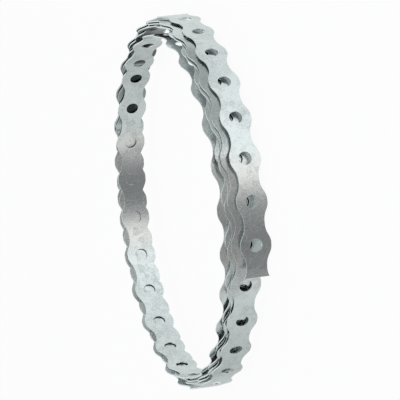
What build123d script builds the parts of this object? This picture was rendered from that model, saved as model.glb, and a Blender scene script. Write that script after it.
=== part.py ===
from build123d import *
import math
import os

# A coil of galvanised perforated strap with wavy edges, lying flat on the floor.
# It is wound about the X axis and then laid down, so that the coil's axis is Z. The
# outer end of the strap is on the -Y side. All sizes are in millimetres.

# The strap, laid flat
hole_pitch = 25.4
hole_radius = 3.85
lobe_width = 19.0        # across the strap at a hole
waist_width = 12.5       # across the strap halfway between two holes
lobe_radius = 10.8       # of the bulging edge round a hole
waist_straight = 1.6     # the short straight in the middle of each waist
thickness = 0.8
last_hole = 122          # counted from the outer end, which has hole 0
outer_tail = 0.76        # in pitches, from hole 0 to the outer cut
inner_tail = 0.30        # in pitches, from the last hole to the inner cut
round_holes = 12         # from the outer end on: the others have flat sides
hole_sides = 12

# The coil: radius and sideways place of the strap's middle after so many turns from
# hole 0, wound inward. It is also a little oval.
first_angle = 11.5       # of hole 0 above the horizontal, in degrees
turn_radius = [(0.0, 125.1), (0.3, 118.8), (0.5, 115.5), (0.8, 117.6), (1.0, 114.9),
               (1.5, 113.6), (2.0, 112.9), (3.0, 111.5), (3.6, 110.7), (3.8, 107.8), (4.4, 108.3)]
turn_place = [(0.0, 3.2), (0.3, 2.3), (0.6, -3.4), (1.0, -0.1), (1.4, -4.0), (1.9, -1.5),
              (2.4, -2.8), (3.4, -2.2), (4.0, -4.7), (4.4, -4.2)]
oval_upright = 1.2       # less radius of bend at the sides, more at the top and bottom
oval_slanted = 5.0       # the same at 45 degrees to those

# The wavy edge is a lobe arc and two halves of a waist arc, tangent to each other.
waist_reach = (hole_pitch - waist_straight) / 2
wave_depth = (lobe_width - waist_width) / 2
both_radii = (waist_reach ** 2 + wave_depth ** 2) / (2 * wave_depth)
wave_angle = math.asin(waist_reach / both_radii)
waist_radius = both_radii - lobe_radius
lobe_reach = lobe_radius * math.sin(wave_angle)


def along(table, turns):
    """The value of a table of (turns, value) pairs, straight between its rows."""
    for (low, first), (high, second) in zip(table, table[1:]):
        if turns <= high:
            break
    return first + (second - first) * (turns - low) / (high - low)


def wavy_edge(side, drift):
    """One edge over one pitch, from waist to waist, with the hole at the origin.

    side is 1 or -1, and drift is how far the strap moves sideways over the pitch. The
    straights at the waists don't slope, so that neighbouring pitches meet exactly.
    """
    def lobe(share):
        angle = share * wave_angle
        return lobe_radius * math.sin(angle), wave_depth - lobe_radius * (1 - math.cos(angle))

    def waist(share):
        angle = share * wave_angle
        return waist_reach - waist_radius * math.sin(angle), waist_radius * (1 - math.cos(angle))

    right = [lobe(1 / 3), lobe(1), waist(1 / 2), waist(0)]
    left = [(-x, y) for x, y in reversed(right)]
    points = [(x, side * (waist_width / 2 + y) + drift * x / (2 * waist_reach))
              for x, y in left + right]
    past_waist = hole_pitch / 2 + 1
    return [(-past_waist, points[0][1])] + points + [(past_waist, points[-1][1])]


def one_pitch(radius, drift, round_hole, first=-0.5, last=0.5):
    """One pitch of bent strap, with its hole on the Z axis at this radius.

    first and last are its ends, in pitches from the hole. Between them the strap bends
    where the lobes end, so that it is flat round the hole.
    """
    outline = make_face(Polyline(wavy_edge(1, drift) + wavy_edge(-1, drift)[::-1], close=True))
    if first < 0 < last:
        outline -= Circle(hole_radius) if round_hole else RegularPolygon(hole_radius, hole_sides)
    cutter = extrude(Plane.XY.offset(radius - 5) * (Rot(0, 0, 90) * outline), 10)

    def end_point(pitches, depth):
        angle = pitches * hole_pitch / radius
        return (radius + depth) * math.sin(angle), (radius + depth) * math.cos(angle)

    height = math.sqrt(radius ** 2 - lobe_reach ** 2)
    bends = [x for x in (-lobe_reach, lobe_reach) if first * hole_pitch < x < last * hole_pitch]
    faces = []
    for depth in (thickness / 2, -thickness / 2):
        middle = [(x, height + depth) for x in bends]
        faces.append([end_point(first, depth)] + middle + [end_point(last, depth)])
    wall = make_face(Polyline(faces[0] + faces[1][::-1], close=True))
    return (extrude(Plane.YZ * wall, lobe_width, both=True) & cutter).solid()


def bend_radius(turns, angle):
    """The radius of the strap's bend after so many turns, at this angle round the coil."""
    oval = oval_upright * math.cos(2 * angle) + oval_slanted * math.sin(2 * angle)
    return along(turn_radius, turns) - oval


def coil_path():
    """Each pitch's hole number, radius, centre, angle and sideways ends, wound inward.

    Every pitch is an arc about its own centre, tangent to the one before. The pitch
    before hole 0 carries the outer tail.
    """
    radius = bend_radius(0, math.radians(first_angle))
    half = hole_pitch / 2 / radius
    centre, start = Vector(0, 0, 0), math.radians(first_angle) - 3 * half
    turned = -3 * half
    path = []
    for hole in range(-1, last_hole + 1):
        new_radius = bend_radius(turned / (2 * math.pi), start)
        outward = Vector(0, -math.cos(start), math.sin(start))
        centre += outward * (radius - new_radius)
        radius = new_radius
        turn = hole_pitch / radius
        ends = [along(turn_place, t / (2 * math.pi)) for t in (turned, turned + turn)]
        path.append((hole, radius, centre, start + turn / 2, ends))
        start += turn
        turned += turn
    return path


def coil():
    """The whole strap as one solid."""
    pieces = []
    for hole, radius, centre, angle, ends in coil_path():
        first = 1 - outer_tail if hole < 0 else -0.5
        last = inner_tail if hole == last_hole else 0.5
        round_hole = hole < round_holes
        pitch = one_pitch(radius, ends[1] - ends[0], round_hole, first, last)
        place = Pos(sum(ends) / 2, centre.Y, centre.Z) * Rot(90 - math.degrees(angle), 0, 0)
        pieces.append(place * pitch)
    return pieces[0].fuse(*pieces[1:])


def lay_down(solid):
    """The solid laid flat, with the middle of its box's underside at the origin."""
    flat = Rot(0, 90, 0) * solid
    box = flat.bounding_box()
    return Pos(-box.center().X, -box.center().Y, -box.min.Z) * flat


os.makedirs("parts", exist_ok=True)
export_step(lay_down(coil()), "parts/strap.step")
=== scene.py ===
import math
import bpy
import bmesh
from mathutils import Matrix, Vector


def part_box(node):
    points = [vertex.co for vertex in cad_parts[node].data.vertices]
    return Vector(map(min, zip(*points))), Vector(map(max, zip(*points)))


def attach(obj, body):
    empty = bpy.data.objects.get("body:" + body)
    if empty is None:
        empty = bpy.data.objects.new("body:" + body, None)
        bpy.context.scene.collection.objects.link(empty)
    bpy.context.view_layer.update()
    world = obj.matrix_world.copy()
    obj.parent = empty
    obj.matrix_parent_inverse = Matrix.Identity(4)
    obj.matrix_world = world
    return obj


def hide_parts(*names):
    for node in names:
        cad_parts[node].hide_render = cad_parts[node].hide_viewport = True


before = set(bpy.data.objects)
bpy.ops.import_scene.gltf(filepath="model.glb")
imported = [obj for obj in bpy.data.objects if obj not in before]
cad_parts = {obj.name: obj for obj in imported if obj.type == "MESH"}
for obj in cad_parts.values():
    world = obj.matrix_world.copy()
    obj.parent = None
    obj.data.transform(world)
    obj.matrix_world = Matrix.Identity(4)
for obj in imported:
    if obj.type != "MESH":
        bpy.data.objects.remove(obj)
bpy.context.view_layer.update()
print("frame loaded")

mm = 0.001

# the strap and the way it is wound, in millimetres, pitches, turns and degrees
strap = {
    "pitch": 25.4,
    "hole": 3.85,
    "lobeWidth": 19.0,
    "waistWidth": 12.5,
    "lobeRadius": 10.8,
    "waistStraight": 1.6,
    "thickness": 0.8,
    "lobeTop": 9.34,         # half the width at a hole at most, so that a lobe stays in the solid's box
    "lastHole": 122,
    "outerTail": 0.76,
    "innerTail": 0.30,
    "sink": 0.13,            # how far the smooth bend lies inside the flats of the solid
    "edgeRound": 0.1,        # worn corner of the sheared edges
    "sharpFrom": 50,         # the angle from which a corner is worn
    "weld": 0.02,            # points of neighbouring pitches nearer than this become one
    "acrossCut": 4,          # faces across the waist
    "alongEdge": 14,         # faces along one wave
    "rings": 3,              # rows of faces from a hole to the edge
    "alongEnd": 4,           # faces along the outer end
    "firstAngle": 11.5,
    "turnRadius": [(0.0, 125.1), (0.3, 118.8), (0.5, 115.5), (0.8, 117.6), (1.0, 114.9), (1.5, 113.6),
                   (2.0, 112.9), (3.0, 111.5), (3.6, 110.7), (3.8, 107.8), (4.4, 108.3)],
    "turnPlace": [(0.0, 3.2), (0.3, 2.3), (0.6, -3.4), (1.0, -0.1), (1.4, -4.0), (1.9, -1.5),
                  (2.4, -2.8), (3.4, -2.2), (4.0, -4.7), (4.4, -4.2)],
    "ovalUpright": 1.2,
    "ovalSlanted": 5.0,
    "straightEnd": 0.034,    # the outer end is shaded as sprung straighter from here on, in turns
    "straighter": 0.0023,    # by this bend, per millimetre
    "innerTurn": 3.3,        # from here on the left side shows the strap's inner face
    # turns with a painted shadow, where the real coil's gap is deeper than the solid's: first, last, and how
    # dark in the middle and at the edges
    "paintedGapShadow": [(1.24, 1.44, 0.7, 0.35), (2.25, 2.446, 1.0, 0.5), (3.25, 3.374, 1.0, 0.8)],
    "shadowMiddle": 4.0,        # half the width of that middle
    "shadowEdge": 4.0,          # and how far beyond it the edges begin
    "shadowFade": 0.004,        # turns over which the painted shadow fades at its ends
    "outerTurn": 0.5,        # the turns up to here have no curl
    "leftFrom": 0.3,         # share of a turn from which the inner face has no curl
    "curlFrom": 4.0,         # where the curl starts, above the strap's middle
    "curlLeft": 0.45,        # past this share of a turn
    "curlStart": 0.1,        # how far before a full turn the table of the curl starts
    # the slope of the curl on the inner turns, by the share of a turn, for the shading alone
    "curl": [(-0.08, 0.0), (-0.045, 0.2), (0.04, 0.2), (0.065, 0.06), (0.09, 0.2), (0.3, 0.2), (0.4, 0.0),
             (0.5, 0.2), (0.84, 0.2), (0.88, 0.0), (1.0, 0.0)],
}

# the wavy edge is a lobe arc and two halves of a waist arc, tangent to each other
waistReach = (strap["pitch"] - strap["waistStraight"]) / 2
waveDepth = (strap["lobeWidth"] - strap["waistWidth"]) / 2
bothRadii = (waistReach ** 2 + waveDepth ** 2) / (2 * waveDepth)
waistRadius = bothRadii - strap["lobeRadius"]
lobeReach = strap["lobeRadius"] * waistReach / bothRadii


def halfWidth(x):
    x = abs(x)
    if x < lobeReach:
        drop = strap["lobeRadius"] - math.sqrt(strap["lobeRadius"] ** 2 - x ** 2)
        return min(strap["lobeWidth"] / 2 - drop, strap["lobeTop"])
    if x < waistReach:
        rise = waistRadius - math.sqrt(waistRadius ** 2 - (waistReach - x) ** 2)
        return strap["waistWidth"] / 2 + rise
    return strap["waistWidth"] / 2


def alongTable(table, turns):
    for (low, first), (high, second) in zip(table, table[1:]):
        if turns <= high:
            break
    return first + (second - first) * (turns - low) / (high - low)


def bendRadius(turns, angle):
    oval = strap["ovalUpright"] * math.cos(2 * angle) + strap["ovalSlanted"] * math.sin(2 * angle)
    return alongTable(strap["turnRadius"], turns) - oval


def coilPath():
    radius = bendRadius(0, math.radians(strap["firstAngle"]))
    half = strap["pitch"] / 2 / radius
    start, turned = math.radians(strap["firstAngle"]) - 3 * half, -3 * half
    y = z = 0.0
    for hole in range(-1, strap["lastHole"] + 1):
        newRadius = bendRadius(turned / (2 * math.pi), start)
        y -= math.cos(start) * (radius - newRadius)
        z += math.sin(start) * (radius - newRadius)
        radius = newRadius
        turn = strap["pitch"] / radius
        yield {"hole": hole, "radius": radius, "y": y, "z": z, "angle": start + turn / 2,
               "turns": (turned + turn / 2) / (2 * math.pi)}
        start += turn
        turned += turn


def bent(pitch, x, across):
    # a point of the flat strap, wound into the coil, and the coil laid down
    angle = pitch["angle"] + x / pitch["radius"]
    radius = pitch["radius"] - strap["sink"]
    place = alongTable(strap["turnPlace"], pitch["turns"] + (x / pitch["radius"]) / (2 * math.pi))
    return Vector((pitch["z"] + radius * math.sin(angle), pitch["y"] - radius * math.cos(angle),
                   -place - across)) * mm


def curled(pitch, x, across):
    # the height that the curl adds to a point of the strap's skin, for its shading alone
    turns = pitch["turns"] + (x / pitch["radius"]) / (2 * math.pi)
    if turns < strap["outerTurn"]:
        past = max(strap["straightEnd"] - turns, 0.0) * 2 * math.pi * pitch["radius"]
        return strap["straighter"] * past ** 2 / 2 * mm
    early = strap["curlStart"]
    share = turns + early - math.floor(turns + early) - early
    if turns > strap["innerTurn"] and share > strap["leftFrom"]:
        return 0.0
    start = strap["curlFrom"] if share > strap["curlLeft"] else 0.0
    return alongTable(strap["curl"], share) * min(across + start, 0.0) * mm


def paintedGapShadow(pitch, x, across):
    # painted shadow: how dark the skin is painted, where the real coil has a deeper gap than the solid and
    # the skin lies in its shade
    turns = pitch["turns"] + (x / pitch["radius"]) / (2 * math.pi)
    nearEdge = min(max((abs(across) - strap["shadowMiddle"]) / strap["shadowEdge"], 0.0), 1.0)
    dark = 0.0
    for first, last, middle, edge in strap["paintedGapShadow"]:
        inside = min(max(min(turns - first, last - turns) / strap["shadowFade"], 0.0), 1.0)
        dark = max(dark, inside * (middle + (edge - middle) * nearEdge))
    return dark


def cellOutline(first, last):
    # round one pitch, from the middle of its last cut, as points of the flat strap
    n, m = strap["alongEdge"], strap["acrossCut"]
    top = [(last + (first - last) * i / n) for i in range(n + 1)]
    points = [(last, halfWidth(last) * (2 * i / m - 1)) for i in range(m)]
    points += [(x, halfWidth(x)) for x in top[:-1]]
    points += [(first, halfWidth(first) * (1 - 2 * i / m)) for i in range(m)]
    points += [(x, -halfWidth(x)) for x in reversed(top[1:])]
    return points


def strapMesh():
    points, faces, heights, deep = [], [], [], []

    def add(pitch, x, across):
        points.append(bent(pitch, x, across))
        heights.append(curled(pitch, x, across))
        deep.append(paintedGapShadow(pitch, x, across))

    half = strap["pitch"] / 2
    for pitch in coilPath():
        first = (1 - strap["outerTail"]) * strap["pitch"] if pitch["hole"] < 0 else -half
        last = strap["innerTail"] * strap["pitch"] if pitch["hole"] == strap["lastHole"] else half
        base = len(points)
        if pitch["hole"] < 0:
            # the outer end has no hole of its own, so it is a plain grid
            n, m = strap["alongEnd"], strap["acrossCut"]
            for i in range(n + 1):
                x = first + (last - first) * i / n
                for j in range(m + 1):
                    add(pitch, x, halfWidth(x) * (2 * j / m - 1))
            for i in range(n):
                for j in range(m):
                    a = base + i * (m + 1) + j
                    faces.append((a, a + m + 1, a + m + 2, a + 1))
            continue
        outline = cellOutline(first, last)
        count, rings = len(outline), strap["rings"]
        for ring in range(rings + 1):
            share = ring / rings
            for x, across in outline:
                out = strap["hole"] / math.hypot(x, across)
                keep = out + (1 - out) * share
                add(pitch, x * keep, across * keep)
        for ring in range(rings):
            for i in range(count):
                j = (i + 1) % count
                a = base + ring * count
                faces.append((a + i, a + count + i, a + count + j, a + j))
    mesh = bpy.data.meshes.new("strapWound")
    mesh.from_pydata(points, [], faces)
    for name, values in (("curl", heights), ("deep", deep)):
        mesh.attributes.new(name, "FLOAT", "POINT").data.foreach_set("value", values)
    return mesh


def joined(mesh):
    # neighbouring pitches meet at their waists, so their points there become one
    work = bmesh.new()
    work.from_mesh(mesh)
    bmesh.ops.remove_doubles(work, verts=work.verts, dist=strap["weld"] * mm)
    bmesh.ops.recalc_face_normals(work, faces=work.faces)
    work.to_mesh(mesh)
    work.free()
    for face in mesh.polygons:
        face.use_smooth = True


def onTheFloor(obj):
    # the middle of the strap's box goes to the middle of the solid's
    low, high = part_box("strap")
    bpy.context.view_layer.update()
    corners = [Vector(c) for c in obj.evaluated_get(bpy.context.evaluated_depsgraph_get()).bound_box]
    middle = (Vector(map(min, *corners)) + Vector(map(max, *corners))) / 2
    obj.data.transform(Matrix.Translation((low + high) / 2 - middle))


strapMeshData = strapMesh()
joined(strapMeshData)
strapPiece = bpy.data.objects.new("strapCoil", strapMeshData)
bpy.context.scene.collection.objects.link(strapPiece)
solid = strapPiece.modifiers.new("thickness", "SOLIDIFY")
solid.thickness = strap["thickness"] * mm
solid.offset = 0
solid.use_even_offset = False
edge = strapPiece.modifiers.new("wornEdge", "BEVEL")
edge.width = strap["edgeRound"] * mm
edge.segments = 1
edge.limit_method = "ANGLE"
edge.angle_limit = math.radians(strap["sharpFrom"])
edge.harden_normals = True
onTheFloor(strapPiece)
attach(strapPiece, "root")
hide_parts("strap")
print("strap wound:", len(strapMeshData.polygons), "faces before its thickness")


class Shade:
    # a socket of a shader tree that takes part in sums
    def __init__(self, tree, socket=None):
        self.tree, self.socket = tree, socket

    def node(self, kind, settings=None, inputs=None, out=0):
        made = self.tree.nodes.new(kind)
        for name, value in (settings or {}).items():
            if name == "stops":
                ramp = made.color_ramp
                while len(ramp.elements) < len(value):
                    ramp.elements.new(0.5)
                for element, (place, colour) in zip(ramp.elements, value):
                    element.position, element.color = place, colour
            else:
                setattr(made, name, value)
        for name, value in (inputs or {}).items():
            if isinstance(value, Shade):
                self.tree.links.new(value.socket, made.inputs[name])
            else:
                made.inputs[name].default_value = value
        return Shade(self.tree, made.outputs[out]) if len(made.outputs) else made

    def maths(self, operation, a, b):
        return self.node("ShaderNodeMath", {"operation": operation}, {0: a, 1: b})

    def __add__(self, other):
        return self.maths("ADD", self, other)

    def __radd__(self, other):
        return self.maths("ADD", other, self)

    def __sub__(self, other):
        return self.maths("SUBTRACT", self, other)

    def __rsub__(self, other):
        return self.maths("SUBTRACT", other, self)

    def __mul__(self, other):
        return self.maths("MULTIPLY", self, other)

    def __rmul__(self, other):
        return self.maths("MULTIPLY", other, self)


zinc = {
    "colour": (0.69, 0.72, 0.72, 1),
    "dull": (0.49, 0.52, 0.52, 1),
    "metallic": 1.0,
    "roughness": 0.18,
    "spangle": 260,          # crystals a metre
    "grain": 1000,
    "patches": 45,
    # how much each makes the skin duller, and the dull share that is left without them
    "crystalDull": 0.5,
    "patchDull": 1.6,
    "grainDull": 2.6,
    "dullShare": 0.2,
    "crystalRough": 0.10,
    "patchRough": 0.15,
    "bump": 0.35,
    "bumpDepth": 0.0002,
    "crystalBump": 0.4,
    "grainBump": 0.6,
    # painted shade: the colour the skin is darkened to where other turns lie near, as the shade between the
    # turns
    "paintedGapShade": (0.50, 0.54, 0.54, 1),
    # painted shadow: the near black of the layers behind some holes
    "paintedShadowColour": (0.03, 0.035, 0.035, 1),
    "paintedShadeReach": 0.005,       # how near another turn must lie for the painted shade between the turns
    "paintedShadeLimits": (0.05, 0.6),  # occlusion up to which the painted shade is full, and from which the skin's own colour is
    "edgeColour": (0.80, 0.83, 0.83, 1),
    "edgeRoughness": 0.32,
    "edgeMarks": 0.2,
}


def galvanised():
    material = bpy.data.materials.new("galvanisedSteel")
    material.use_nodes = True
    tree = material.node_tree
    tree.nodes.clear()
    make = Shade(tree)
    place = make.node("ShaderNodeTexCoord", out=3)
    crystals = make.node("ShaderNodeTexVoronoi", {"feature": "F1"},
                         {"Vector": place, "Scale": zinc["spangle"], "Randomness": 1.0}, out=1)
    crystal = make.node("ShaderNodeSeparateColor", {}, {0: crystals})
    grain = make.node("ShaderNodeTexNoise", {}, {"Vector": place, "Scale": zinc["grain"], "Detail": 3.0})
    patches = make.node("ShaderNodeTexNoise", {}, {"Vector": place, "Scale": zinc["patches"], "Detail": 4.0})
    dullness = (crystal - 0.5) * zinc["crystalDull"] + (patches - 0.5) * zinc["patchDull"]
    dullness = dullness + (grain - 0.5) * zinc["grainDull"] + zinc["dullShare"]
    shade = make.node("ShaderNodeMix", {"data_type": "RGBA", "clamp_factor": True},
                      {0: dullness, 6: zinc["colour"], 7: zinc["dull"]}, out=2)
    # painted shade: occlusion by the nearby turns darkens the base colour towards the painted gap shade
    shadeOcclusion = make.node("ShaderNodeAmbientOcclusion", {"samples": 8}, {"Distance": zinc["paintedShadeReach"]}, out=1)
    unshadedShare = make.node("ShaderNodeMapRange", {}, {
        "Value": shadeOcclusion, "From Min": zinc["paintedShadeLimits"][0], "From Max": zinc["paintedShadeLimits"][1]})
    shade = make.node("ShaderNodeMix", {"data_type": "RGBA", "clamp_factor": True},
                      {0: unshadedShare, 6: zinc["paintedGapShade"], 7: shade}, out=2)
    # painted shadow: the layers behind some holes are darkened to near black, as the shade of a deeper gap
    deep = make.node("ShaderNodeAttribute", {"attribute_name": "deep"}, out=2)
    shade = make.node("ShaderNodeMix", {"data_type": "RGBA", "clamp_factor": True},
                      {0: deep, 6: shade, 7: zinc["paintedShadowColour"]}, out=2)
    rough = (crystal - 0.5) * zinc["crystalRough"] + (patches - 0.5) * zinc["patchRough"]
    rough = rough + zinc["roughness"]
    curl = make.node("ShaderNodeBump", {}, {"Strength": 1.0, "Distance": 1.0, "Height": make.node(
        "ShaderNodeAttribute", {"attribute_name": "curl"}, out=2)})
    bump = make.node("ShaderNodeBump", {}, {
        "Strength": zinc["bump"], "Distance": zinc["bumpDepth"], "Normal": curl,
        "Height": crystal * zinc["crystalBump"] + grain * zinc["grainBump"]})
    skin = make.node("ShaderNodeBsdfPrincipled", {}, {
        "Base Color": shade, "Metallic": zinc["metallic"], "Roughness": rough, "Normal": bump})
    make.node("ShaderNodeOutputMaterial", {}, {"Surface": skin})
    return material


def cutSteel():
    # the sheared edges and the punched holes' walls
    material = bpy.data.materials.new("cutSteel")
    material.use_nodes = True
    tree = material.node_tree
    tree.nodes.clear()
    make = Shade(tree)
    place = make.node("ShaderNodeTexCoord", out=3)
    marks = make.node("ShaderNodeTexNoise", {}, {"Vector": place, "Scale": zinc["grain"], "Detail": 2.0})
    skin = make.node("ShaderNodeBsdfPrincipled", {}, {
        "Base Color": zinc["edgeColour"], "Metallic": zinc["metallic"],
        "Roughness": (marks - 0.5) * zinc["edgeMarks"] + zinc["edgeRoughness"]})
    make.node("ShaderNodeOutputMaterial", {}, {"Surface": skin})
    return material


strapMeshData.materials.append(galvanised())
strapMeshData.materials.append(cutSteel())
solid.material_offset_rim = 1
edge.material = 1
print("galvanised finish made")

studio = {
    "floorColour": (0.86, 0.86, 0.86, 1),
    "floorSize": 6.0,
    "floorWhite": 0.93,      # how much of the paper is plain white to the camera
    "darkSide": (0.110, -0.951, -0.29),
    "dimSide": (-0.93, 0.23, -0.29),
    "brightSide": (0.784, -0.549, -0.29),
    "brightening": 0.28,
    "dimming": 0.27,
    "room": [(0.0, (0.95, 1.0, 1.0, 1)), (0.854, (0.95, 1.0, 1.0, 1)), (0.935, (1.0, 0.97, 0.93, 1)),
             (0.9755, (0.50, 0.50, 0.50, 1)), (0.9924, (0.30, 0.30, 0.30, 1)), (1.0, (0.27, 0.27, 0.27, 1))],
    "roomLight": 0.93,
    "highSide": (0.8, -0.6, 0.0),
    "highDark": 0.52,        # how much darker the room is on that side near the horizon and above
    "highUp": (-0.20, -0.06),    # the heights between which that begins
    "highWide": (0.45, 0.65),    # and how far round from that side
}


def directed(make, place, towards):
    # from 0 away from a side of the room to 1 on it
    towards = Vector(towards).normalized()
    facing = make.node("ShaderNodeVectorMath", {"operation": "DOT_PRODUCT"}, {0: place, 1: towards}, out=1)
    return facing * 0.5 + 0.5


def makeFloor():
    mesh = bpy.data.meshes.new("studioFloor")
    reach = studio["floorSize"] / 2
    mesh.from_pydata([(-reach, -reach, 0), (reach, -reach, 0), (reach, reach, 0), (-reach, reach, 0)],
                     [], [(0, 1, 2, 3)])
    floor = bpy.data.objects.new("studioFloor", mesh)
    bpy.context.scene.collection.objects.link(floor)
    material = bpy.data.materials.new("floorPaper")
    material.use_nodes = True
    tree = material.node_tree
    tree.nodes.clear()
    make = Shade(tree)
    path = make.node("ShaderNodeLightPath").socket.node
    seen = sum((Shade(tree, path.outputs[ray]) for ray in ("Is Glossy Ray", "Is Transmission Ray")),
               Shade(tree, path.outputs["Is Camera Ray"]))
    paper = make.node("ShaderNodeBsdfDiffuse", {}, {"Color": studio["floorColour"]})
    white = make.node("ShaderNodeEmission", {}, {"Color": (1, 1, 1, 1), "Strength": 1.0})
    shown = make.node("ShaderNodeMixShader", {}, {0: seen * studio["floorWhite"], 1: paper, 2: white})
    make.node("ShaderNodeOutputMaterial", {}, {"Surface": shown})
    mesh.materials.append(material)
    # the metal mirrors the room and not the paper, so Is Glossy Ray above has no effect
    floor.visible_glossy = False


def makeRoom():
    world = bpy.data.worlds.new("studio")
    bpy.context.scene.world = world
    world.use_nodes = True
    tree = world.node_tree
    tree.nodes.clear()
    make = Shade(tree)
    place = make.node("ShaderNodeTexCoord")
    wall = make.node("ShaderNodeValToRGB", {"stops": studio["room"]},
                     {0: directed(make, place, studio["darkSide"])})
    dim = directed(make, place, studio["dimSide"])
    dim = dim * dim * dim
    bright = directed(make, place, studio["brightSide"])
    bright = bright * bright * bright
    bright = bright * bright
    light = studio["roomLight"] - dim * studio["dimming"] + bright * studio["brightening"]
    up = make.node("ShaderNodeSeparateXYZ", {}, {0: place}, out=2)
    high = make.node("ShaderNodeMapRange", {}, {
        "Value": up, "From Min": studio["highUp"][0], "From Max": studio["highUp"][1]})
    side = make.node("ShaderNodeMapRange", {}, {
        "Value": directed(make, place, studio["highSide"]),
        "From Min": studio["highWide"][0], "From Max": studio["highWide"][1]})
    light = light * (1 - high * side * studio["highDark"])
    air = make.node("ShaderNodeBackground", {}, {"Color": wall, "Strength": light})
    make.node("ShaderNodeOutputWorld", {}, {"Surface": air})


makeFloor()
makeRoom()

lamps = {
    "key": {"from": (0.5, -0.4, 1.3), "size": 1.2, "power": 4},
}


def addLamp(name, spec):
    light = bpy.data.lights.new(name, "AREA")
    light.size = spec["size"]
    light.energy = spec["power"]
    lamp = bpy.data.objects.new(name, light)
    lamp.location = spec["from"]
    lamp.rotation_euler = (-Vector(spec["from"])).to_track_quat("-Z", "Y").to_euler()
    bpy.context.scene.collection.objects.link(lamp)


for lampName, spec in lamps.items():
    addLamp(lampName, spec)
print("studio and lamps set")

camera = {
    "place": (0.58675, -1.36911, 0.45343),
    "azimuth": 23.29,        # of the camera round the coil, from straight in front
    "height": 16.46,         # above the horizon
    "roll": -97.08,
    "lens": 226.0,
    "shift": (0.0338, 0.0201),
    "sensor": 36,
    "clip": (0.05, 20),
}


def addCamera():
    data = bpy.data.cameras.new("camera")
    data.lens = camera["lens"]
    data.sensor_width = camera["sensor"]
    data.shift_x, data.shift_y = camera["shift"]
    data.clip_start, data.clip_end = camera["clip"]
    view = bpy.data.objects.new("camera", data)
    turn, rise = math.radians(camera["azimuth"]), math.radians(camera["height"])
    view.location = camera["place"]
    view.rotation_euler = (Matrix.Rotation(turn, 4, "Z") @ Matrix.Rotation(math.pi / 2 - rise, 4, "X")
                           @ Matrix.Rotation(math.radians(camera["roll"]), 4, "Z")).to_euler()
    bpy.context.scene.collection.objects.link(view)
    bpy.context.scene.camera = view


addCamera()
bpy.context.scene.view_settings.view_transform = "Standard"
print("camera set")
